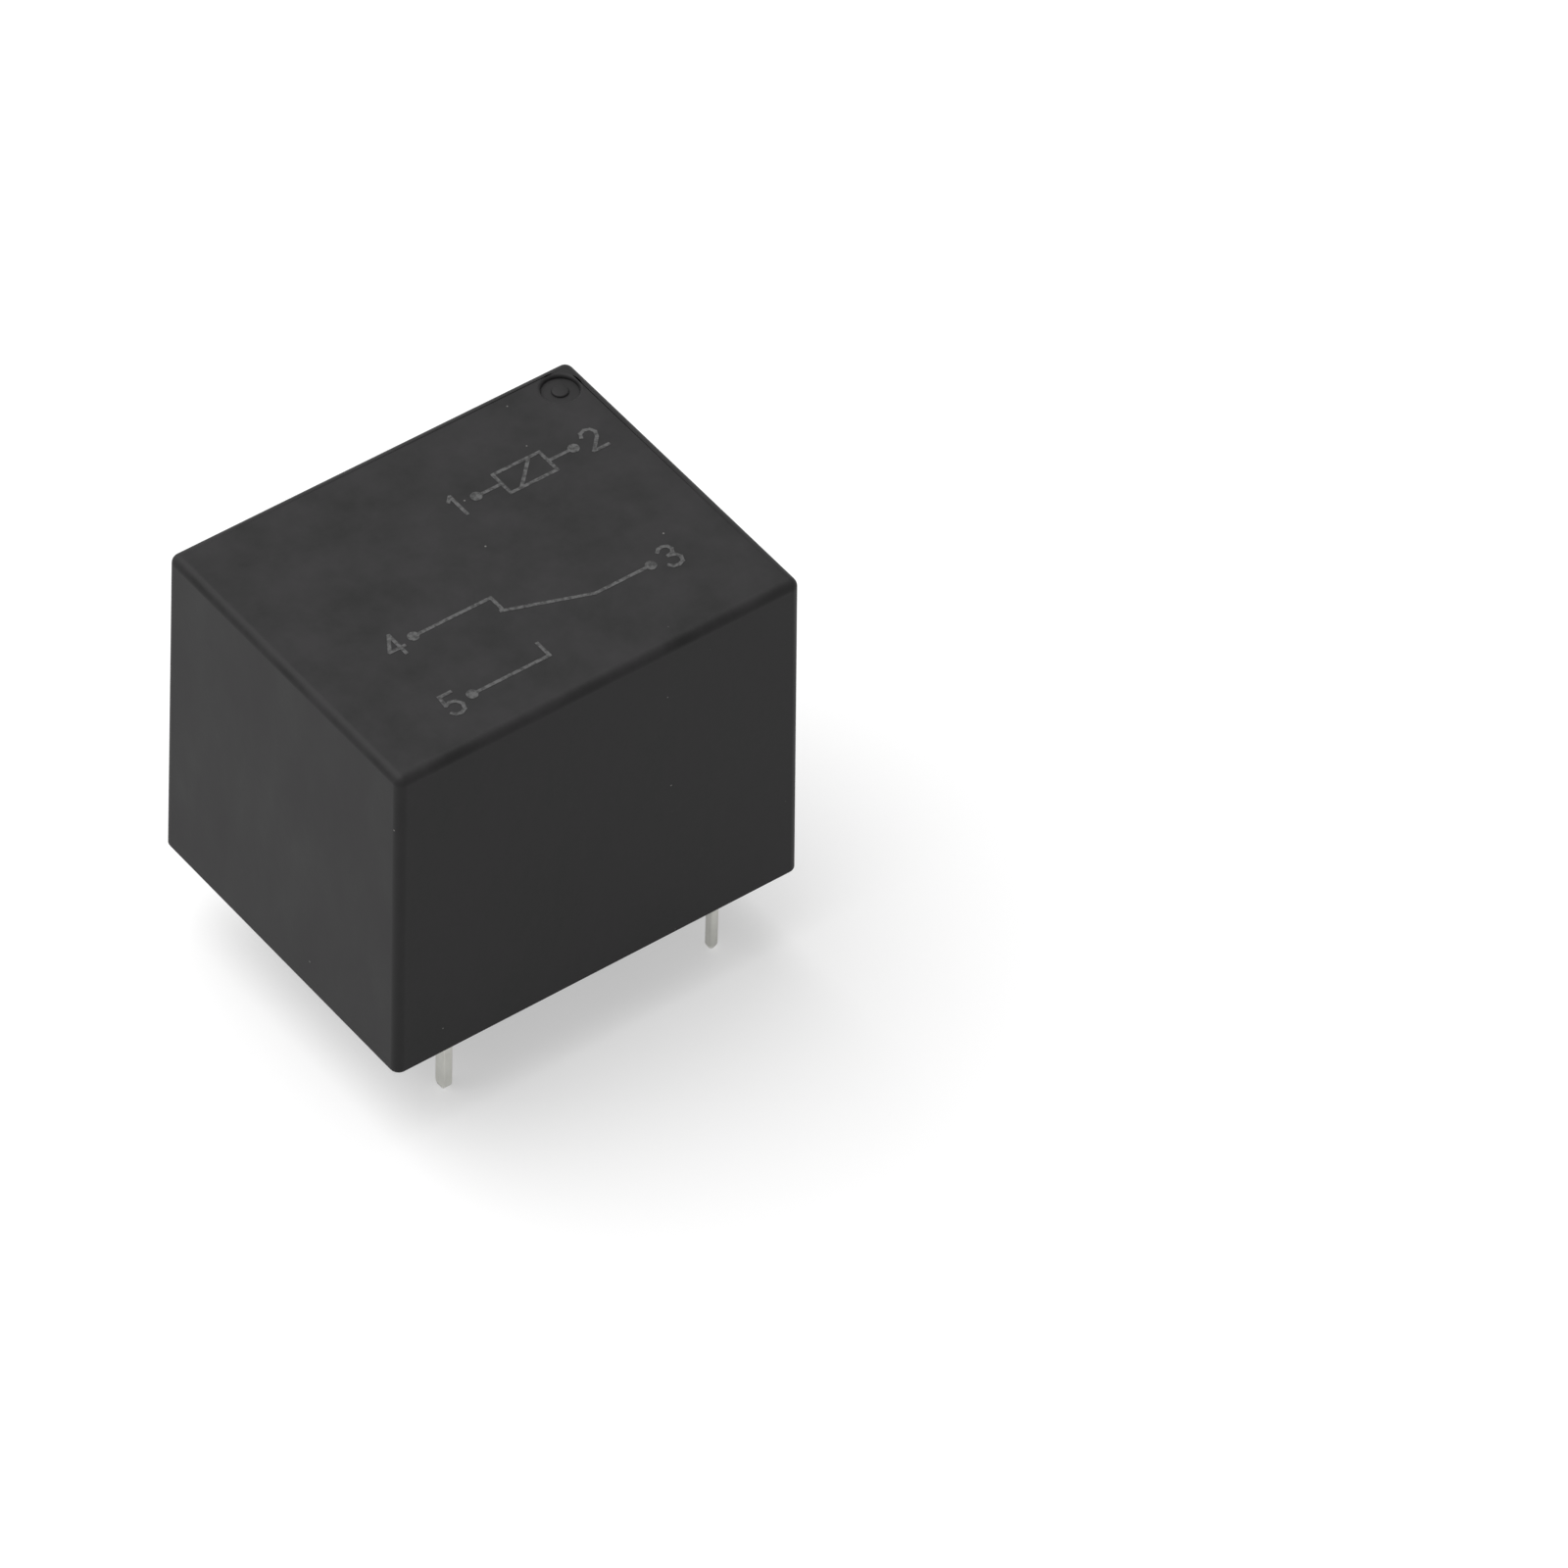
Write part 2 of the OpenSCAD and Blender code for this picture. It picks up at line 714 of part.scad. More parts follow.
// Contact terminal on one side: a pin, an upright plate and a tab bent over towards the end wall
module contact_terminal(side, tab_z) {
    plate_w = pin_y + contact_pin_w / 2 - plate_clear;
    bend_out_r = tab_bend_r + terminal_t;
    color("#b4b4b2")
        difference() {
            union() {
                translate([contact_pin_x, side * pin_y, 0])
                    blade(contact_pin_w, base_top + terminal_t);
                translate([0, side * (plate_clear + plate_w / 2), tab_z])
                    across(plate_w)
                        intersection() {
                            translate([contact_pin_x + terminal_t / 2 - bend_out_r, terminal_t - bend_out_r])
                                bent_strip(tab_bend_r, terminal_t);
                            translate([contact_x - tab_r, base_top - tab_z])
                                square(far);
                        }
                translate([contact_x, 0, tab_z])
                    linear_extrude(terminal_t) {
                        circle(tab_r);
                        translate([-tab_r, side > 0 ? 0 : -plate_clear - terminal_t])
                            square([2 * tab_r, plate_clear + terminal_t]);
                    }
            }
            translate([contact_x, 0, tab_z - cut])
                cylinder(h = terminal_t + 2 * cut, d = shank_d + 2 * fit);
        }
}

// Terminal whose contact closes when the coil is off
module nc_terminal() {
    contact_terminal(1, nc_tab_z);
}

// Terminal whose contact closes when the coil is on
module no_terminal() {
    contact_terminal(-1, no_tab_z);
}

// Riveted contact with a flat face up, a shank through its tab and a tail below
module fixed_contact() {
    edge = contact_h / 4;
    color("#d0d0cc")
        rotate_extrude()
            polygon([
                [0, -terminal_t - tail_h],
                [shank_d / 2, -terminal_t - tail_h],
                [shank_d / 2 + tail_h, -terminal_t],
                [shank_d / 2, -terminal_t],
                [shank_d / 2, 0],
                [fixed_contact_d / 2, 0],
                [fixed_contact_d / 2, contact_h - edge],
                [fixed_contact_d / 2 - edge, contact_h],
                [0, contact_h]
            ]);
}

// Contact above the spring, facing down
module nc_contact() {
    translate([contact_x, 0, nc_tab_z])
        mirror([0, 0, 1])
            fixed_contact();
}

// Contact below the spring, facing up
module no_contact() {
    translate([contact_x, 0, no_tab_z + terminal_t])
        fixed_contact();
}

// Coil pin: a round pin below the resin, a flattened stretch in the plastic and a square winding post above
module coil_pin(side) {
    tip_h = coil_pin_d / 2;
    post_w = micron(coil_pin_d / sqrt(2));
    color("#b4b4b2")
        translate([coil_pin_x, side * pin_y, 0]) {
            translate([0, 0, -pin_len])
                cylinder(h = tip_h, d1 = coil_pin_d / 2, d2 = coil_pin_d);
            translate([0, 0, tip_h - pin_len])
                cylinder(h = pin_len - tip_h + coil_grip_z, d = coil_pin_d);
            translate([-coil_grip_w / 2, -coil_grip_t / 2, coil_grip_z])
                cube([coil_grip_w, coil_grip_t, lower_flange_top - coil_grip_z]);
            translate([-post_w / 2, -post_w / 2, lower_flange_top - cut])
                cube([post_w, post_w, coil_post_h + cut]);
        }
}

// Coil pin on the near side
module coil_pin_a() {
    coil_pin(-1);
}

// Coil pin on the far side
module coil_pin_b() {
    coil_pin(1);
}

// Armature plate that rocks on the yoke's rounded edge, with its rear corner rounded under the spring
module armature() {
    length = armature_x1 - armature_x0;
    color("#8a8c90")
        opened()
            difference() {
                translate([0, 0, armature_z])
                    linear_extrude(armature_t) {
                        translate([armature_x0 + length / 2, 0])
                            rounded_rect(length, armature_w, armature_front_r);
                        translate([armature_x1 - length / 2, -armature_w / 2])
                            square([length / 2, armature_w]);
                    }
                translate([armature_x1 - armature_heel_r, 0, armature_z + armature_t - armature_heel_r])
                    across(armature_w + 2 * cut)
                        rounding(armature_heel_r);
                armature_rivet_holes();
            }
}

// Holes for the armature's rivets, through the armature and the spring
module armature_rivet_holes() {
    for (side = [-1, 1])
        translate([armature_rivet_x, side * armature_rivet_pitch / 2, armature_z - cut])
            cylinder(h = armature_t + spring_t + 2 * cut, d = rivet_d + 2 * fit);
}

// Two rivets that hold the spring on the armature
module armature_rivets() {
    color("#a9a9a4")
        opened()
            for (side = [-1, 1])
                translate([
                    armature_rivet_x,
                    side * armature_rivet_pitch / 2,
                    armature_z + armature_t + spring_t
                ])
                    rivet(armature_t + spring_t - fit);
}

// Plan of the contact spring's arm, which narrows from the armature to its rounded tip
module spring_plan() {
    tip_r = moving_contact_d / 2 + spring_t;
    translate([contact_x, 0])
        circle(tip_r);
    polygon([
        [yoke_back_x, -spring_w / 2],
        [yoke_back_x, spring_w / 2],
        [armature_x0, spring_w / 2],
        [contact_x + tip_r, tip_r],
        [contact_x, tip_r],
        [contact_x, -tip_r],
        [contact_x + tip_r, -tip_r],
        [armature_x0, -spring_w / 2]
    ]);
}

// Bent leaf that carries the moving contact, returns the armature and leads the current to the yoke
module contact_spring() {
    arm_z = armature_z + armature_t;
    leg_z0 = rivet_z - rivet_margin;
    color("#b98a4a")
        difference() {
            intersection() {
                translate([bend_x, 0, bend_z])
                    across(spring_w)
                        bent_strip(spring_bend_r + spring_seat, spring_t - 2 * spring_seat, open_angle);
                union() {
                    opened()
                        translate([0, 0, arm_z - armature_t / 2])
                            linear_extrude(armature_t)
                                spring_plan();
                    translate([bend_x, -spring_w, leg_z0])
                        cube([far, 2 * spring_w, far]);
                }
            }
            yoke_rivet_holes();
            opened() {
                armature_rivet_holes();
                translate([contact_x, 0, arm_z - cut])
                    cylinder(h = spring_t + 2 * cut, d = shank_d + 2 * fit);
            }
            translate([bend_x, -spring_window_w / 2, bend_z - spring_bend_r])
                cube([far, spring_window_w, far]);
        }
}

// Contact with a dome on each side of the spring
module moving_contact() {
    color("#d0d0cc")
        opened()
            translate([contact_x, 0, armature_z + armature_t + spring_t / 2])
                rotate_extrude() {
                    translate([0, -spring_t / 2])
                        square([shank_d / 2, spring_t]);
                    for (flip = [0, 1])
                        mirror([0, flip])
                            translate([0, spring_t / 2])
                                contact_dome();
                }
}

// Half section of one domed head
module contact_dome() {
    intersection() {
        square([moving_contact_d / 2, contact_h]);
        translate([0, contact_h - dome_r])
            circle(dome_r, $fn = 192);
    }
}

cover();
base();
sealing_resin();
bobbin();
coil_winding();
coil_leads();
core();
yoke();
yoke_rivets();
common_terminal();
nc_terminal();
nc_contact();
no_terminal();
no_contact();
coil_pin_a();
coil_pin_b();
armature();
armature_rivets();
contact_spring();
moving_contact();
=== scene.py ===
"""Dresses a sealed circuit-board relay around its CAD frame: pieces, materials, studio and camera."""

import math

import bmesh
import bpy
from mathutils import Matrix, Vector


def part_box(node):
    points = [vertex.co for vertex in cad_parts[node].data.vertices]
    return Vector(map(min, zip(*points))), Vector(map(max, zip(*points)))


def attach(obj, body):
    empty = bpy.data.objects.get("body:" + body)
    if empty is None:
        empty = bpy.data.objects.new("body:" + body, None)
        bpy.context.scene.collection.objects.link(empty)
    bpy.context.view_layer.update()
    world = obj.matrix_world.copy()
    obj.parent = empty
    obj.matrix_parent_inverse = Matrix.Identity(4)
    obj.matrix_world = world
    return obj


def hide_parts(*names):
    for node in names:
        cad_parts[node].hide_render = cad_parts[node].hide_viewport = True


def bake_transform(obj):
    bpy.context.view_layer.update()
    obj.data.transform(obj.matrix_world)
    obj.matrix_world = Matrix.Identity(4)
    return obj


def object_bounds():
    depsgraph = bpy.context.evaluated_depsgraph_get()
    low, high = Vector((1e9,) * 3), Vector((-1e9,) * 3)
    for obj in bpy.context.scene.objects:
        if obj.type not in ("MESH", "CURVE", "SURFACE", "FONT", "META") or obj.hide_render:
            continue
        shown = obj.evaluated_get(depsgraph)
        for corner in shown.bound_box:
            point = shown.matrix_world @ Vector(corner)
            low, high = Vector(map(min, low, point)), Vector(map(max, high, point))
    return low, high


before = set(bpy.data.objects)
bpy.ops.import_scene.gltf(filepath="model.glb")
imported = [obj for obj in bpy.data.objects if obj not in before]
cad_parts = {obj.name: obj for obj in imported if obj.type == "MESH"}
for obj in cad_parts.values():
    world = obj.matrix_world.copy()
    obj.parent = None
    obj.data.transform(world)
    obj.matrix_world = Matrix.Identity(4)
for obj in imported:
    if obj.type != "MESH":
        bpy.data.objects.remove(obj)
cad_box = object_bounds()

MM = 0.001
# Slack for telling by its place whether a point lies on a face
NEAR = 0.01 * MM
# Points that are closer than this are merged
SAME = 0.001 * MM
# A face looks along an axis where its normal has more than this share on it
FACING = 0.9

# Turn of an edge above which it is shaded sharp, on the case and on the other pieces
CASE_SHARP = math.radians(35)
SHARP = math.radians(40)
# Turn below which two faces of a CAD node are one flat face
FLAT = math.radians(1)
# How much large faces count in the shading, where 50 is as much as small ones
LARGE_FACES = 100

# The case: wall at the rim, ledge for the base, roof, and how far each side leans in
RIM_WALL = 0.6 * MM
LEDGE_W = 0.25 * MM
LEDGE_Z = 1.8 * MM
ROOF_T = 0.9 * MM
LEAN = 0.2 * MM
# Rounding of its edges, outside and in its room, and the easing of its rim
EDGE_R = 0.4 * MM
EDGE_STEPS = 8
ROOM_STEPS = 4
RIM_EASE = 0.08 * MM
RIM_STEPS = 2

# The vent: a dimple in one corner of the roof with a nib in its middle
VENT_INSET = 1.45 * MM
VENT_D = 1.5 * MM
VENT_DEPTH = 0.18 * MM
VENT_NIB_D = 0.7 * MM
VENT_RIM_EASE = 0.15 * MM
VENT_NIB_EASE = 0.07 * MM
VENT_STEPS = 3
VENT_SIDES = 64

# The resin: depth under the base, rounding of its flowed edges, and the turn that tells such an edge
RESIN_T = 0.3 * MM
RESIN_EASE = 0.14 * MM
RESIN_STEPS = 3
RESIN_TURN = math.radians(60)

# Easing of the edges of mouldings, plates, blades, pins and the leaf
MOULDING_EASE = 0.06 * MM
PLATE_EASE = 0.06 * MM
BLADE_EASE = 0.04 * MM
PIN_EASE = 0.03 * MM
LEAF_EASE = 0.02 * MM
EASE_STEPS = 2

# The wiring diagram on the roof: width of its lines, height above the plastic and size of its dots
MARK_LINE = 0.15 * MM
MARK_T = 0.008 * MM
# Share by which each mark is thicker than the one before, so that no two have faces in one plane
MARK_T_STEP = 0.01
# Share of the line's width by which a line is longer than the way between its ends
MARK_END = 0.7
MARK_DOT_R = 0.24 * MM
MARK_DOT_SIDES = 32
# Its lines, terminals and numbers, in millimetres from the middle of the roof
MARK_COIL = ((3.2, 2.7), (5.4, 2.7), (5.4, 3.9), (3.2, 3.9))
MARK_STROKES = [
    *zip(MARK_COIL, MARK_COIL[1:] + MARK_COIL[:1]), ((3.7, 2.7), (4.9, 3.9)),
    ((3.2, 3.3), (2.0, 3.3)), ((5.4, 3.3), (6.6, 3.3)),
    ((5.2, -3.6), (2.6, -3.6)), ((2.6, -3.6), (-0.9, -2.3)),
    ((-0.8, -2.2), (-0.8, -1.5)), ((-0.8, -1.5), (-4.4, -1.5)),
    ((-0.8, -4.5), (-0.8, -5.3)), ((-0.8, -5.3), (-4.4, -5.3)),
]
MARK_TERMINALS = [(2.0, 3.3), (6.6, 3.3), (5.2, -3.6), (-4.4, -1.5), (-4.4, -5.3)]
MARK_NUMBERS = [(1.1, 3.3), (7.5, 3.3), (6.1, -3.6), (-5.3, -1.5), (-5.3, -5.3)]
# Height of a number in millimetres, and the lines of the numbers 1 to 5, each one high
MARK_NUMBER_H = 1.15
MARK_FIGURES = [
    [(-0.15, 0.3), (0.05, 0.5), (0.05, -0.5)],
    [(-0.28, 0.26), (-0.2, 0.43), (0, 0.5), (0.2, 0.43), (0.29, 0.25), (0.2, 0.03), (-0.3, -0.5),
     (0.3, -0.5)],
    [(-0.26, 0.37), (-0.13, 0.48), (0.05, 0.5), (0.2, 0.42), (0.26, 0.26), (0.18, 0.1), (-0.04, 0.04),
     (0.2, -0.04), (0.29, -0.22), (0.22, -0.42), (0.02, -0.5), (-0.18, -0.46), (-0.29, -0.32)],
    [(0.14, -0.5), (0.14, 0.5), (-0.3, -0.18), (0.3, -0.18)],
    [(0.26, 0.5), (-0.2, 0.5), (-0.25, 0.04), (-0.05, 0.12), (0.16, 0.05), (0.28, -0.16), (0.2, -0.4),
     (0, -0.5), (-0.2, -0.45), (-0.29, -0.32)],
]

# Sizes of the patterns in the finishes, in millimetres
FLOW_CLOUD = 2.2
MOULD_GRAIN = 0.16
SINK_WAVE = 7
DUST_SPACING = 1.5
RESIN_RIPPLE = 1.6
RESIN_CLOUD = 0.7
PLATING_CLOUD = 0.9
LACQUER_CLOUD = 0.6
LASER_DOT = 0.14
# Core and edge of a speck of dust, as shares of the spacing
DUST_CORE = 0.018
DUST_EDGE = 0.032
# How far clouds, streaks along the pins and streaks along the leaf are drawn out: shares on the three axes
DRAWN_CLOUD = (1, 1, 0.45)
DRAWN_PIN = (1, 1, 0.08)
DRAWN_LEAF = (0.06, 1, 1)
NOT_DRAWN = (1, 1, 1)

# The camera: direction, tilt, lens and sensor in millimetres, distance, and where its axis passes the case
CAMERA_AZIMUTH = math.radians(-38.22)
CAMERA_ELEVATION = math.radians(45.16)
CAMERA_ROLL = math.radians(2.01)
CAMERA_LENS = 298.87
CAMERA_SENSOR = 36
CAMERA_DISTANCE = 500 * MM
CAMERA_NEAREST = 10 * MM
CAMERA_RIGHT = 11.569 * MM
CAMERA_UP = -2.756 * MM
CAMERA_HEIGHT = 7.8 * MM

# The studio in metres and watts: floor, level of the surroundings and the soft light overhead
FLOOR_SIZE = 4.0
FLOOR_GAP = 0.02 * MM
SURROUND_LIGHT = 0.36
OVERHEAD_PLACE = (-0.145, 0.17, 0.5)
OVERHEAD_SIZE = 0.7
OVERHEAD_POWER = 4.45
# How much of the paper's white shows through the shadow
SHADOW_FILL = 0.45


def linear(code):
    """Linear colour of an sRGB hex value."""
    channels = [int(code[i:i + 2], 16) / 255 for i in (1, 3, 5)]
    return (*[c / 12.92 if c <= 0.04045 else ((c + 0.055) / 1.055) ** 2.4 for c in channels], 1.0)


def per(size):
    """Texture scale whose pattern has a given size in millimetres."""
    return 1 / (size * MM)


def add(tree, kind, sockets=None, **settings):
    """Adds a node with its settings, and links or sets its sockets."""
    node = tree.nodes.new(kind)
    for name, value in settings.items():
        setattr(node, name, value)
    for name, value in (sockets or {}).items():
        if isinstance(value, bpy.types.NodeSocket):
            tree.links.new(value, node.inputs[name])
        else:
            node.inputs[name].default_value = value
    return node


def empty_tree(name):
    """New material without nodes."""
    material = bpy.data.materials.new(name)
    material.use_nodes = True
    material.node_tree.nodes.clear()
    return material, material.node_tree


# Moulded polyester: the mould's fine spark-eroded grain makes it satin. Slow flow and handling cloud its
# gloss, more along the pull of the mould than across it, and a few specks of dust lie on it.
# The grain is drawn coarser than the real 0.05 mm, so that it shows.
def moulded_polyester(name, dark, pale, dust, roughness, gloss):
    material, tree = empty_tree(name)
    place = add(tree, "ShaderNodeTexCoord").outputs["Object"]
    pulled = add(tree, "ShaderNodeMapping", {"Vector": place, "Scale": DRAWN_CLOUD})
    cloud = add(tree, "ShaderNodeTexNoise", {
        "Vector": pulled.outputs["Vector"], "Scale": per(FLOW_CLOUD), "Detail": 4.0, "Roughness": 0.62})
    grain = add(tree, "ShaderNodeTexNoise", {"Vector": place, "Scale": per(MOULD_GRAIN), "Detail": 2.0})
    warp = add(tree, "ShaderNodeTexNoise", {"Vector": place, "Scale": per(SINK_WAVE), "Detail": 1.0})
    specks = add(tree, "ShaderNodeTexVoronoi", {"Vector": place, "Scale": per(DUST_SPACING)}, feature="F1")
    tone = add(tree, "ShaderNodeMapRange", {
        "Value": cloud.outputs["Fac"], "From Min": 0.3, "From Max": 0.7})
    body = add(tree, "ShaderNodeMix", {
        "Factor": tone.outputs["Result"], "A": linear(dark), "B": linear(pale)}, data_type="RGBA")
    speck = add(tree, "ShaderNodeMapRange", {
        "Value": specks.outputs["Distance"], "From Min": DUST_EDGE, "From Max": DUST_CORE})
    dusty = add(tree, "ShaderNodeMix", {
        "Factor": speck.outputs["Result"], "A": body.outputs["Result"], "B": linear(dust)},
        data_type="RGBA")
    rough = add(tree, "ShaderNodeMapRange", {
        "Value": cloud.outputs["Fac"], "From Min": 0.3, "From Max": 0.7,
        "To Min": roughness[0], "To Max": roughness[1]})
    waves = add(tree, "ShaderNodeBump", {
        "Height": warp.outputs["Fac"], "Distance": 0.06 * MM, "Strength": 0.6})
    bump = add(tree, "ShaderNodeBump", {
        "Height": grain.outputs["Fac"], "Distance": 0.006 * MM, "Strength": 0.35,
        "Normal": waves.outputs["Normal"]})
    shader = add(tree, "ShaderNodeBsdfPrincipled", {
        "Base Color": dusty.outputs["Result"], "Roughness": rough.outputs["Result"], "IOR": 1.5,
        "Specular IOR Level": gloss, "Normal": bump.outputs["Normal"]})
    add(tree, "ShaderNodeOutputMaterial", {"Surface": shader.outputs["BSDF"]})
    return material


# Poured epoxy: it sets dark and half glossy, with slow ripples and a few clouded patches where it was thin.
def poured_epoxy(name, dark, pale):
    material, tree = empty_tree(name)
    place = add(tree, "ShaderNodeTexCoord").outputs["Object"]
    ripple = add(tree, "ShaderNodeTexNoise", {"Vector": place, "Scale": per(RESIN_RIPPLE), "Detail": 2.0})
    cloud = add(tree, "ShaderNodeTexNoise", {"Vector": place, "Scale": per(RESIN_CLOUD), "Detail": 4.0})
    tone = add(tree, "ShaderNodeMapRange", {
        "Value": cloud.outputs["Fac"], "From Min": 0.35, "From Max": 0.7})
    body = add(tree, "ShaderNodeMix", {
        "Factor": tone.outputs["Result"], "A": linear(dark), "B": linear(pale)}, data_type="RGBA")
    rough = add(tree, "ShaderNodeMapRange", {
        "Value": cloud.outputs["Fac"], "From Min": 0.35, "From Max": 0.7, "To Min": 0.3, "To Max": 0.48})
    bump = add(tree, "ShaderNodeBump", {
        "Height": ripple.outputs["Fac"], "Distance": 0.08 * MM, "Strength": 0.6})
    shader = add(tree, "ShaderNodeBsdfPrincipled", {
        "Base Color": body.outputs["Result"], "Roughness": rough.outputs["Result"], "IOR": 1.55,
        "Specular IOR Level": 0.2, "Normal": bump.outputs["Normal"]})
    add(tree, "ShaderNodeOutputMaterial", {"Surface": shader.outputs["BSDF"]})
    return material


# Metal finishes: rolling, drawing or plating leaves streaks along the strip, which spread the highlights,
# and the plating is a little uneven in tone.
def streaked_metal(name, dark, pale, roughness, drawn_out, streak):
    material, tree = empty_tree(name)
    place = add(tree, "ShaderNodeTexCoord").outputs["Object"]
    drawn = add(tree, "ShaderNodeMapping", {"Vector": place, "Scale": drawn_out})
    lines = add(tree, "ShaderNodeTexNoise", {
        "Vector": drawn.outputs["Vector"], "Scale": per(streak), "Detail": 3.0, "Roughness": 0.6})
    cloud = add(tree, "ShaderNodeTexNoise", {"Vector": place, "Scale": per(PLATING_CLOUD), "Detail": 3.0})
    tone = add(tree, "ShaderNodeMapRange", {
        "Value": cloud.outputs["Fac"], "From Min": 0.3, "From Max": 0.7})
    body = add(tree, "ShaderNodeMix", {
        "Factor": tone.outputs["Result"], "A": linear(dark), "B": linear(pale)}, data_type="RGBA")
    rough = add(tree, "ShaderNodeMapRange", {
        "Value": lines.outputs["Fac"], "From Min": 0.3, "From Max": 0.7,
        "To Min": roughness[0], "To Max": roughness[1]})
    bump = add(tree, "ShaderNodeBump", {
        "Height": lines.outputs["Fac"], "Distance": 0.01 * MM, "Strength": 0.3})
    shader = add(tree, "ShaderNodeBsdfPrincipled", {
        "Base Color": body.outputs["Result"], "Metallic": 1.0, "Roughness": rough.outputs["Result"],
        "Normal": bump.outputs["Normal"]})
    add(tree, "ShaderNodeOutputMaterial", {"Surface": shader.outputs["BSDF"]})
    return material


# Enamelled copper wire: red-brown metal under a clear coat of lacquer, which adds a sharp second highlight.
def enamelled_copper(name, dark, pale):
    material, tree = empty_tree(name)
    place = add(tree, "ShaderNodeTexCoord").outputs["Object"]
    cloud = add(tree, "ShaderNodeTexNoise", {"Vector": place, "Scale": per(LACQUER_CLOUD), "Detail": 3.0})
    body = add(tree, "ShaderNodeMix", {
        "Factor": cloud.outputs["Fac"], "A": linear(dark), "B": linear(pale)}, data_type="RGBA")
    bump = add(tree, "ShaderNodeBump", {
        "Height": cloud.outputs["Fac"], "Distance": 0.01 * MM, "Strength": 0.3})
    shader = add(tree, "ShaderNodeBsdfPrincipled", {
        "Base Color": body.outputs["Result"], "Metallic": 1.0, "Roughness": 0.34, "Coat Weight": 0.7,
        "Coat Roughness": 0.12, "Normal": bump.outputs["Normal"]})
    add(tree, "ShaderNodeOutputMaterial", {"Surface": shader.outputs["BSDF"]})
    return material


# Laser-marked polyester: the beam foams the black surface to a pale grey that is dotted and uneven.
def laser_mark(name, dark, pale):
    material, tree = empty_tree(name)
    place = add(tree, "ShaderNodeTexCoord").outputs["Object"]
    dots = add(tree, "ShaderNodeTexNoise", {"Vector": place, "Scale": per(LASER_DOT), "Detail": 2.0})
    tone = add(tree, "ShaderNodeMapRange", {
        "Value": dots.outputs["Fac"], "From Min": 0.35, "From Max": 0.6})
    body = add(tree, "ShaderNodeMix", {
        "Factor": tone.outputs["Result"], "A": linear(dark), "B": linear(pale)}, data_type="RGBA")
    shader = add(tree, "ShaderNodeBsdfPrincipled", {
        "Base Color": body.outputs["Result"], "Roughness": 0.7, "Specular IOR Level": 0.3})
    add(tree, "ShaderNodeOutputMaterial", {"Surface": shader.outputs["BSDF"]})
    return material


def put(name, data):
    """Adds an object to the scene."""
    thing = bpy.data.objects.new(name, data)
    bpy.context.scene.collection.objects.link(thing)
    return thing


def select_only(piece):
    """Selects one piece alone and makes it the active one."""
    bpy.ops.object.select_all(action="DESELECT")
    piece.select_set(True)
    bpy.context.view_layer.objects.active = piece


def start(primitive, name, **settings):
    """Adds a primitive with nothing else selected, sets its place in its mesh and opens it for editing."""
    bpy.ops.object.select_all(action="DESELECT")
    primitive(**settings)
    piece = bpy.context.object
    piece.name = name
    bpy.ops.object.transform_apply(location=True, rotation=True, scale=True)
    bpy.ops.object.mode_set(mode="EDIT")
    return piece


def pick_faces(piece, test):
    """Selects only the faces, of a piece in edit mode, whose middle and normal pass a test."""
    bpy.ops.mesh.select_mode(type="FACE")
    bpy.ops.mesh.select_all(action="DESELECT")
    mesh = bmesh.from_edit_mesh(piece.data)
    for face in mesh.faces:
        face.select = test(face.calc_center_median(), face.normal)
    mesh.select_flush_mode()
    bmesh.update_edit_mesh(piece.data)


def pick_edges(piece, test):
    """Selects only the edges, of a piece in edit mode, whose ends and whose turn outwards pass a test."""
    bpy.ops.mesh.select_mode(type="EDGE")
    bpy.ops.mesh.select_all(action="DESELECT")
    mesh = bmesh.from_edit_mesh(piece.data)
    for edge in mesh.edges:
        edge.select = test(*[vert.co for vert in edge.verts], edge.calc_face_angle_signed(0))
    mesh.select_flush_mode()
    bmesh.update_edit_mesh(piece.data)


def close_seams():
    """Merges, in the piece that is open for editing, the points that lie on each other."""
    bpy.ops.mesh.select_all(action="SELECT")
    bpy.ops.mesh.remove_doubles(threshold=SAME)


def apply_modifier(piece, kind, **settings):
    """Adds a modifier to the active piece in object mode and applies it."""
    modifier = piece.modifiers.new(kind.lower(), kind)
    for name, value in settings.items():
        setattr(modifier, name, value)
    bpy.ops.object.modifier_apply(modifier=modifier.name)


def carve(piece, cutter):
    """Takes the shape of a cutter, which is still open for editing, out of a piece."""
    bpy.ops.object.mode_set(mode="OBJECT")
    select_only(piece)
    apply_modifier(piece, "BOOLEAN", object=cutter, operation="DIFFERENCE", solver="EXACT")
    bpy.data.objects.remove(cutter)


def smooth(piece, sharp):
    """Shades a piece smooth except at edges that turn sharply, with flat faces that stay flat."""
    bpy.ops.object.shade_smooth_by_angle(angle=sharp)
    apply_modifier(piece, "WEIGHTED_NORMAL", keep_sharp=True, weight=LARGE_FACES)


def dress(piece, material, body, slot, *nodes):
    """Gives a finished piece its material and its body, if it has one, and hides its CAD nodes; the finish it
    is given is not used.
    """
    piece.data.materials.clear()
    piece.data.materials.append(material)
    if body:
        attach(piece, body)
    if nodes:
        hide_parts(*nodes)


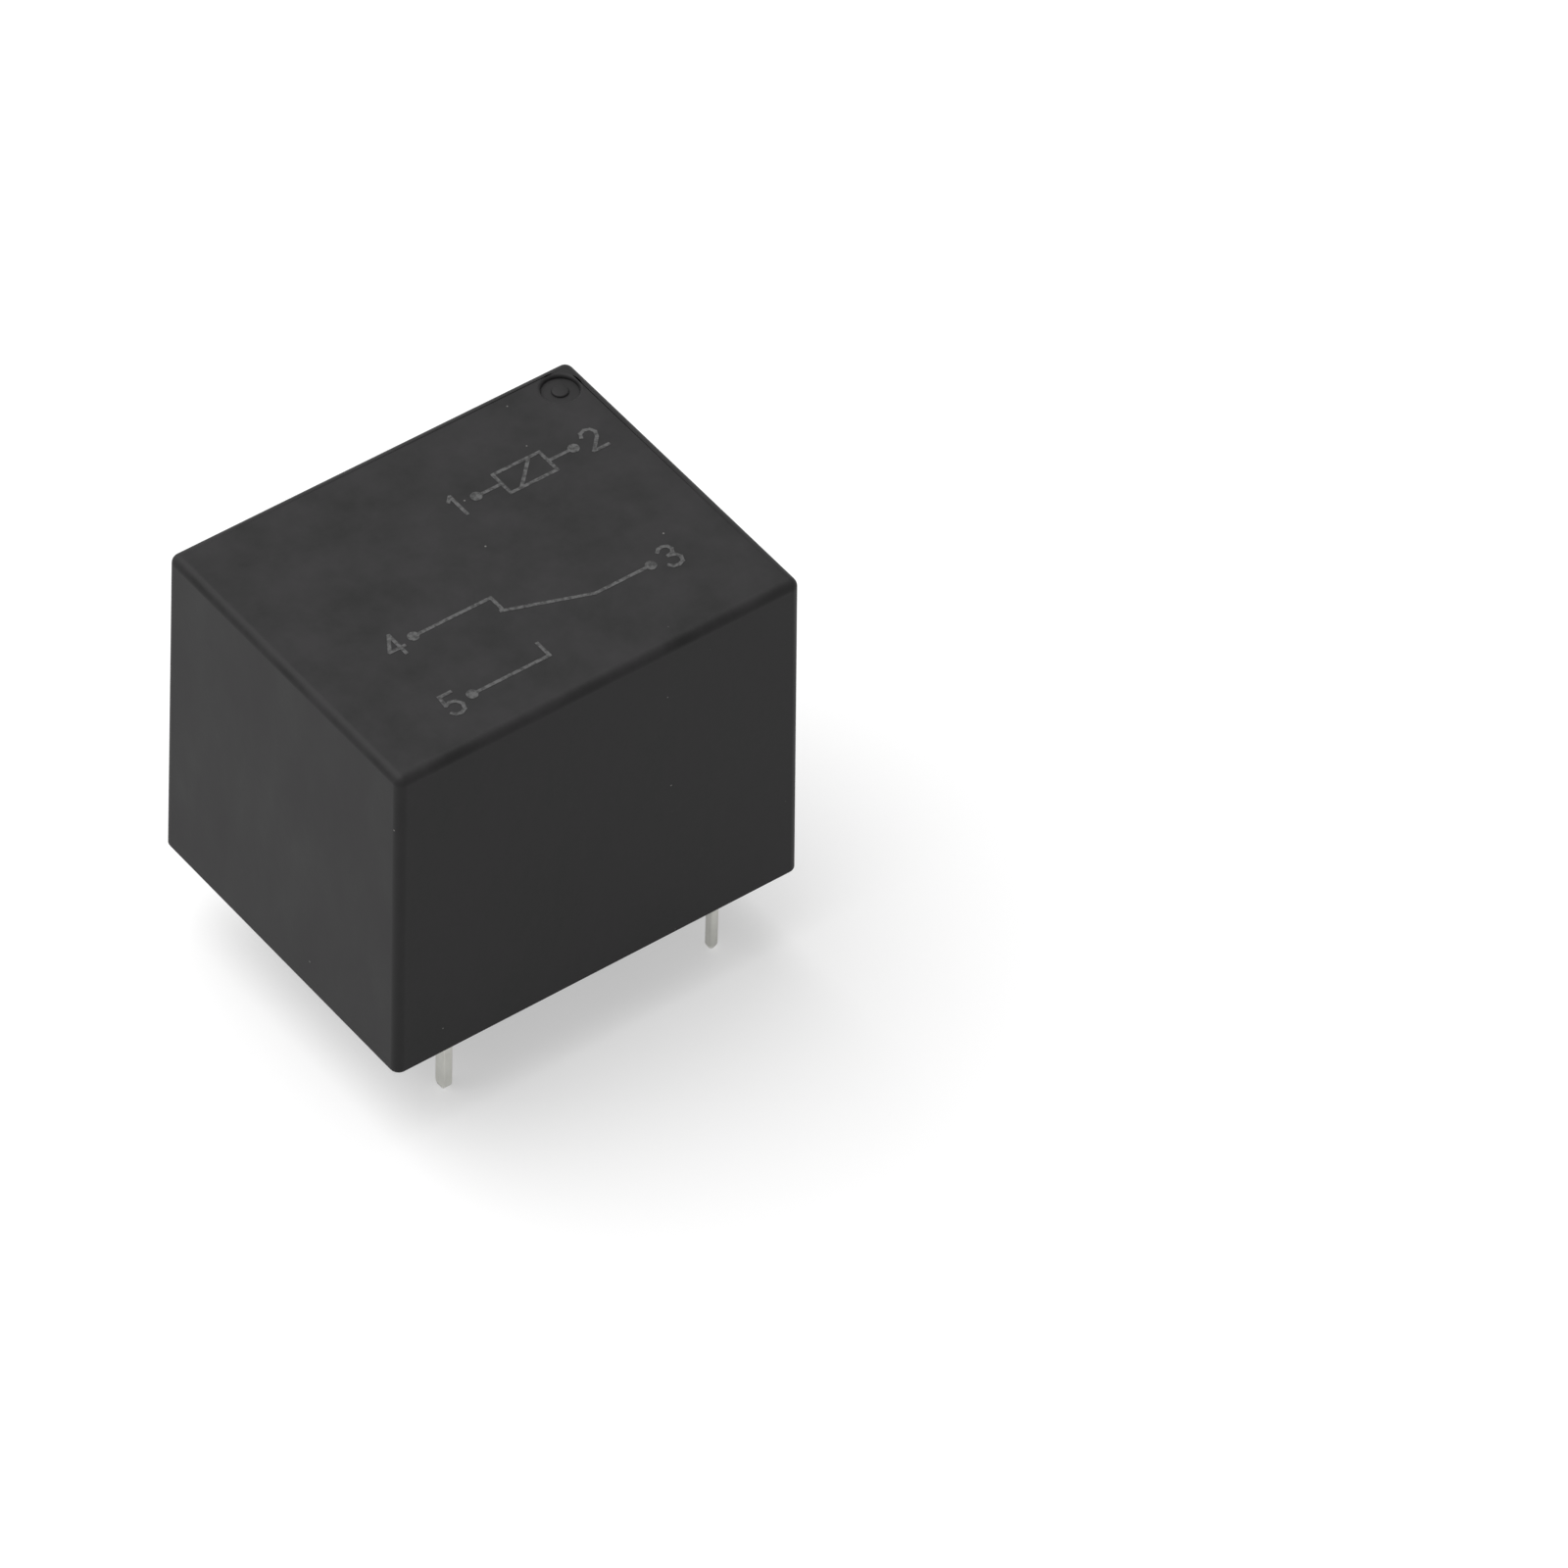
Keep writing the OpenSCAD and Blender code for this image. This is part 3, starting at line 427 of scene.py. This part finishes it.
def leaning_box(name, half, z0, z1, lean, steps, round_top=False):
    """A box, open for editing, that leans in upwards, with round upright edges and, if asked, a round top."""
    box = start(
        bpy.ops.mesh.primitive_cube_add, name, size=1, location=(0, 0, (z0 + z1) / 2),
        scale=(2 * half.x, 2 * half.y, z1 - z0))
    pick_faces(box, lambda centre, normal: normal.z > FACING)
    bpy.ops.transform.resize(value=(1 - lean / half.x, 1 - lean / half.y, 1), center_override=(0, 0, z1))
    pick_edges(box, lambda a, b, turn: abs(a.z - b.z) > NEAR or (round_top and a.z > z1 - NEAR))
    bpy.ops.mesh.bevel(offset=EDGE_R, segments=steps, affect="EDGES")
    return box


def vent_cutter(middle):
    """What the vent takes out of the roof: a disc with a hollow below, which leaves a nib standing."""
    cutter = start(
        bpy.ops.mesh.primitive_cylinder_add, "vent_cutter", vertices=VENT_SIDES, radius=VENT_D / 2,
        depth=2 * VENT_DEPTH, location=middle)
    pick_faces(cutter, lambda centre, normal: normal.z < -FACING)
    bpy.ops.mesh.inset(thickness=(VENT_D - VENT_NIB_D) / 2)
    bpy.ops.mesh.extrude_region_move(TRANSFORM_OT_translate={"value": (0, 0, VENT_DEPTH / 2)})
    return cutter


def ease_vent(case, middle):
    """Rounds the edges of the vent's dimple and of its nib."""
    def on_ring(point, radius):
        off = (point.xy - middle.xy).length - radius
        return abs(off) < NEAR and point.z > middle.z - VENT_DEPTH + NEAR

    def ring_edge(a, b, radius):
        return abs(a.z - b.z) < NEAR and on_ring(a, radius) and on_ring(b, radius)

    bpy.ops.object.mode_set(mode="EDIT")
    for radius, ease in ((VENT_D / 2, VENT_RIM_EASE), (VENT_NIB_D / 2, VENT_NIB_EASE)):
        pick_edges(case, lambda a, b, turn: ring_edge(a, b, radius))
        bpy.ops.mesh.bevel(offset=ease, segments=VENT_STEPS, affect="EDGES")
    bpy.ops.object.mode_set(mode="OBJECT")


def model_case(material):
    """The moulded case: a leaning box with a ledge and a room hollowed from below and a vent in its roof."""
    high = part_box("cover")[1]
    inner = high.xy - Vector((1, 1)) * RIM_WALL
    room = inner - Vector((1, 1)) * (LEDGE_W + LEAN * LEDGE_Z / high.z)
    roof_z = high.z - ROOF_T
    case = leaning_box("case_shell", high.xy, 0, high.z, LEAN, EDGE_STEPS, round_top=True)
    pick_edges(case, lambda a, b, turn: max(a.z, b.z) < NEAR)
    bpy.ops.mesh.bevel(offset=RIM_EASE, segments=RIM_STEPS, affect="EDGES")
    bpy.ops.object.mode_set(mode="OBJECT")
    carve(case, leaning_box("mouth_cutter", inner, -LEDGE_Z, LEDGE_Z, 0, ROOM_STEPS))
    carve(case, leaning_box("room_cutter", room, LEDGE_Z / 2, roof_z, LEAN, ROOM_STEPS))
    middle = Vector((high.x - VENT_INSET, high.y - VENT_INSET, high.z))
    carve(case, vent_cutter(middle))
    ease_vent(case, middle)
    smooth(case, CASE_SHARP)
    dress(case, material, "frame", "case_plastic", "cover")


def whole_copy(node, name):
    """Copy of a CAD node with its triangles merged and its flat faces whole, opened for editing."""
    piece = put(name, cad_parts[node].data.copy())
    select_only(piece)
    bpy.ops.object.mode_set(mode="EDIT")
    close_seams()
    bpy.ops.mesh.dissolve_limited(angle_limit=FLAT)
    return piece


def eased_copy(node, name, edge):
    """Copy of a CAD node with its sharp edges eased."""
    piece = whole_copy(node, name)
    bpy.ops.object.mode_set(mode="OBJECT")
    apply_modifier(
        piece, "BEVEL", width=edge, segments=EASE_STEPS, limit_method="ANGLE", angle_limit=SHARP,
        use_clamp_overlap=False)
    smooth(piece, SHARP)
    return piece


def model_resin(material):
    """The poured resin: its flowed edges are round, and it stays sharp at the rim and the pins."""
    seal = whole_copy("sealing_resin", "resin_seal")
    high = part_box("sealing_resin")[1]
    surface_z = high.z - RESIN_T

    def flowed(point):
        off_rim = abs(point.x) < high.x - RESIN_EASE and abs(point.y) < high.y - RESIN_EASE
        return off_rim and abs(point.z - surface_z) < NEAR

    pick_edges(seal, lambda a, b, turn: turn > RESIN_TURN and flowed(a) and flowed(b))
    bpy.ops.mesh.bevel(offset=RESIN_EASE, segments=RESIN_STEPS, affect="EDGES")
    bpy.ops.object.mode_set(mode="OBJECT")
    smooth(seal, SHARP)
    dress(seal, material, "frame", "sealing_resin", "sealing_resin")


def stroke(a, b, z):
    """One straight line of the diagram, as a thin strip that is sunk into the roof by half."""
    along = (Vector(b) - Vector(a)) * MM
    middle = (Vector(a) + Vector(b)) / 2 * MM
    bpy.ops.mesh.primitive_cube_add(
        size=1, location=(*middle, z), rotation=(0, 0, math.atan2(along.y, along.x)),
        scale=(along.length + MARK_END * MARK_LINE, MARK_LINE, 2 * MARK_T))
    return bpy.context.object


def dot(place, z):
    """One terminal of the diagram, as a thin disc that is sunk into the roof by half."""
    bpy.ops.mesh.primitive_cylinder_add(
        vertices=MARK_DOT_SIDES, radius=MARK_DOT_R, depth=2 * MARK_T, location=(*Vector(place) * MM, z))
    return bpy.context.object


def number_strokes(place, figure):
    """The lines of one number at its place."""
    points = [Vector(place) + MARK_NUMBER_H * Vector(point) for point in figure]
    return list(zip(points, points[1:]))


def model_marking(material):
    """The wiring diagram on the roof: a coil, a changeover contact, five terminals and their numbers."""
    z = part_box("cover")[1].z
    strokes = list(MARK_STROKES)
    for place, figure in zip(MARK_NUMBERS, MARK_FIGURES):
        strokes += number_strokes(place, figure)
    bpy.ops.object.select_all(action="DESELECT")
    marks = [stroke(a, b, z) for a, b in strokes]
    marks += [dot(place, z) for place in MARK_TERMINALS]
    for i, mark in enumerate(marks):
        mark.select_set(True)
        mark.scale.z *= 1 + MARK_T_STEP * i
    bpy.ops.object.transform_apply(location=True, rotation=True, scale=True)
    marking = marks[0]
    marking.name = "roof_marking"
    bpy.context.view_layer.objects.active = marking
    for mark in marks[1:]:
        apply_modifier(marking, "BOOLEAN", object=mark, operation="UNION", solver="EXACT")
        bpy.data.objects.remove(mark)
    bpy.ops.object.mode_set(mode="EDIT")
    close_seams()
    bpy.ops.object.mode_set(mode="OBJECT")
    dress(marking, material, "frame", "case_plastic")


def seen_directly(tree):
    """One for rays that come from the camera or a reflection, and nought for light that is scattered."""
    path = add(tree, "ShaderNodeLightPath").outputs
    mirrored = add(tree, "ShaderNodeMath", {
        0: path["Is Glossy Ray"], 1: path["Is Transmission Ray"]}, operation="MAXIMUM")
    seen = add(tree, "ShaderNodeMath", {
        0: path["Is Camera Ray"], 1: mirrored.outputs["Value"]}, operation="MAXIMUM")
    return seen.outputs["Value"]


# White paper: matt and pure white to the eye, with a pale shadow, and clear when it is seen from below.
def white_paper(name):
    material, tree = empty_tree(name)
    seen = seen_directly(tree)
    paper = add(tree, "ShaderNodeMix", {
        "Factor": seen, "A": linear("#dcdcdc"), "B": linear("#ffffff")}, data_type="RGBA")
    matt = add(tree, "ShaderNodeBsdfDiffuse", {"Color": paper.outputs["Result"]})
    white = add(tree, "ShaderNodeEmission", {"Color": linear("#ffffff"), "Strength": 1.0})
    share = add(tree, "ShaderNodeMath", {0: seen, 1: SHADOW_FILL}, operation="MULTIPLY")
    filled = add(tree, "ShaderNodeMixShader", {
        0: share.outputs["Value"], 1: matt.outputs["BSDF"], 2: white.outputs["Emission"]})
    clear = add(tree, "ShaderNodeBsdfTransparent")
    below = add(tree, "ShaderNodeNewGeometry").outputs["Backfacing"]
    shader = add(tree, "ShaderNodeMixShader", {
        0: below, 1: filled.outputs["Shader"], 2: clear.outputs["BSDF"]})
    add(tree, "ShaderNodeOutputMaterial", {"Surface": shader.outputs["Shader"]})
    return material


def model_stage():
    """The floor just under the pins' tips."""
    bpy.ops.object.select_all(action="DESELECT")
    bpy.ops.mesh.primitive_plane_add(size=FLOOR_SIZE, location=(0, 0, cad_box[0][2] - FLOOR_GAP))
    floor = bpy.context.object
    floor.name = "paper_floor"
    floor.data.materials.append(white_paper("white_paper"))


def light_studio():
    """White surroundings and one large soft light overhead, a little to the left and the back."""
    world = bpy.context.scene.world or bpy.data.worlds.new("studio")
    bpy.context.scene.world = world
    world.use_nodes = True
    tree = world.node_tree
    tree.nodes.clear()
    level = add(tree, "ShaderNodeMapRange", {
        "Value": seen_directly(tree), "To Min": SURROUND_LIGHT, "To Max": 1.0})
    surround = add(tree, "ShaderNodeBackground", {
        "Color": linear("#ffffff"), "Strength": level.outputs["Result"]})
    add(tree, "ShaderNodeOutputWorld", {"Surface": surround.outputs["Background"]})
    data = bpy.data.lights.new("overhead_light", "AREA")
    data.shape = "SQUARE"
    data.size = OVERHEAD_SIZE
    data.energy = OVERHEAD_POWER
    light = put("overhead_light", data)
    light.location = OVERHEAD_PLACE
    light.rotation_euler = (-Vector(OVERHEAD_PLACE)).to_track_quat("-Z", "Y").to_euler()


def place_camera():
    """The camera that looks down on a corner of the case."""
    back = Vector((
        math.sin(CAMERA_AZIMUTH) * math.cos(CAMERA_ELEVATION),
        -math.cos(CAMERA_AZIMUTH) * math.cos(CAMERA_ELEVATION),
        math.sin(CAMERA_ELEVATION)))
    level = Vector((math.cos(CAMERA_AZIMUTH), math.sin(CAMERA_AZIMUTH), 0))
    roll = Matrix.Rotation(CAMERA_ROLL, 3, back)
    right = roll @ level
    up = roll @ back.cross(level)
    data = bpy.data.cameras.new("photo_camera")
    data.sensor_width = CAMERA_SENSOR
    data.lens = CAMERA_LENS
    data.clip_start = CAMERA_NEAREST
    camera = put("photo_camera", data)
    middle = Vector((0, 0, CAMERA_HEIGHT))
    place = middle + CAMERA_RIGHT * right + CAMERA_UP * up + CAMERA_DISTANCE * back
    turn = Matrix((right, up, back)).transposed().to_4x4()
    camera.matrix_world = Matrix.Translation(place) @ turn
    bpy.context.scene.camera = camera


# The case is black and satin, its base plate paler and more matt, and the bobbin inside cream
case_black = moulded_polyester(
    "moulded_polyester_case", dark="#111111", pale="#262526", dust="#6a6967",
    roughness=(0.47, 0.62), gloss=0.19)
base_black = moulded_polyester(
    "moulded_polyester_base", dark="#38383c", pale="#434247", dust="#7c7b80",
    roughness=(0.55, 0.7), gloss=0.35)
natural = moulded_polyester(
    "moulded_polyester_natural", dark="#d3cab2", pale="#ddd6c3", dust="#c4b998",
    roughness=(0.45, 0.6), gloss=0.5)
resin = poured_epoxy("poured_epoxy_resin", dark="#1c1c1f", pale="#28282b")
lasered = laser_mark("laser_marked_polyester", dark="#303030", pale="#525252")
copper = enamelled_copper("enamelled_copper_wire", dark="#9a4a28", pale="#bb6538")
# Zinc on iron is grey and cloudy, plated rivets are brighter, and silver contacts are the brightest
iron = streaked_metal(
    "zinc_plated_iron", dark="#898b8f", pale="#979a9d",
    roughness=(0.34, 0.5), drawn_out=NOT_DRAWN, streak=0.3)
steel = streaked_metal(
    "plated_steel_rivet", dark="#9c9c98", pale="#b4b4ae",
    roughness=(0.3, 0.42), drawn_out=NOT_DRAWN, streak=0.2)
silver = streaked_metal(
    "silver_alloy_contact", dark="#c6c6c2", pale="#dcdcd8",
    roughness=(0.2, 0.34), drawn_out=NOT_DRAWN, streak=0.15)
# Hot tin runs down the pins and stays soft and white, and the rolled spring strip shines along its length
tin = streaked_metal(
    "tinned_copper_alloy", dark="#c9c9c3", pale="#d6d6d0",
    roughness=(0.34, 0.5), drawn_out=DRAWN_PIN, streak=0.12)
bronze = streaked_metal(
    "rolled_bronze_strip", dark="#a97c3f", pale="#c49552",
    roughness=(0.26, 0.4), drawn_out=DRAWN_LEAF, streak=0.12)

model_case(case_black)
model_marking(lasered)
model_resin(resin)

# Copies of CAD nodes with eased edges: node, new piece, body, easing, material and finish
EASED = [
    ("base", "base_plate", "frame", MOULDING_EASE, base_black, "base_plastic"),
    ("bobbin", "coil_bobbin", "frame", MOULDING_EASE, natural, "bobbin_plastic"),
    ("yoke", "magnet_yoke", "frame", PLATE_EASE, iron, "magnet_iron"),
    ("common_terminal", "common_blade", "frame", BLADE_EASE, tin, "tinned_terminal"),
    ("nc_terminal", "closed_blade", "frame", BLADE_EASE, tin, "tinned_terminal"),
    ("no_terminal", "open_blade", "frame", BLADE_EASE, tin, "tinned_terminal"),
    ("coil_pin_a", "coil_post_a", "frame", PIN_EASE, tin, "tinned_terminal"),
    ("coil_pin_b", "coil_post_b", "frame", PIN_EASE, tin, "tinned_terminal"),
    ("armature", "rocking_armature", "armature", PLATE_EASE, iron, "magnet_iron"),
]
for node, name, body, edge, material, slot in EASED:
    dress(eased_copy(node, name, edge), material, body, slot, node)

# The contact spring keeps its place with its transform baked in, and is given no body
leaf = eased_copy("contact_spring", "contact_leaf", LEAF_EASE)
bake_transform(leaf)
dress(leaf, bronze, None, "spring_bronze", "contact_spring")

# CAD nodes whose shape stays, with their materials
CARRIED = {
    "coil_winding": copper, "coil_leads": copper, "core": iron, "yoke_rivets": steel,
    "armature_rivets": steel, "nc_contact": silver, "no_contact": silver, "moving_contact": silver,
}
for node, material in CARRIED.items():
    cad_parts[node].data.materials.clear()
    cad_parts[node].data.materials.append(material)

model_stage()
light_studio()
place_camera()
bpy.context.scene.view_settings.view_transform = "Standard"
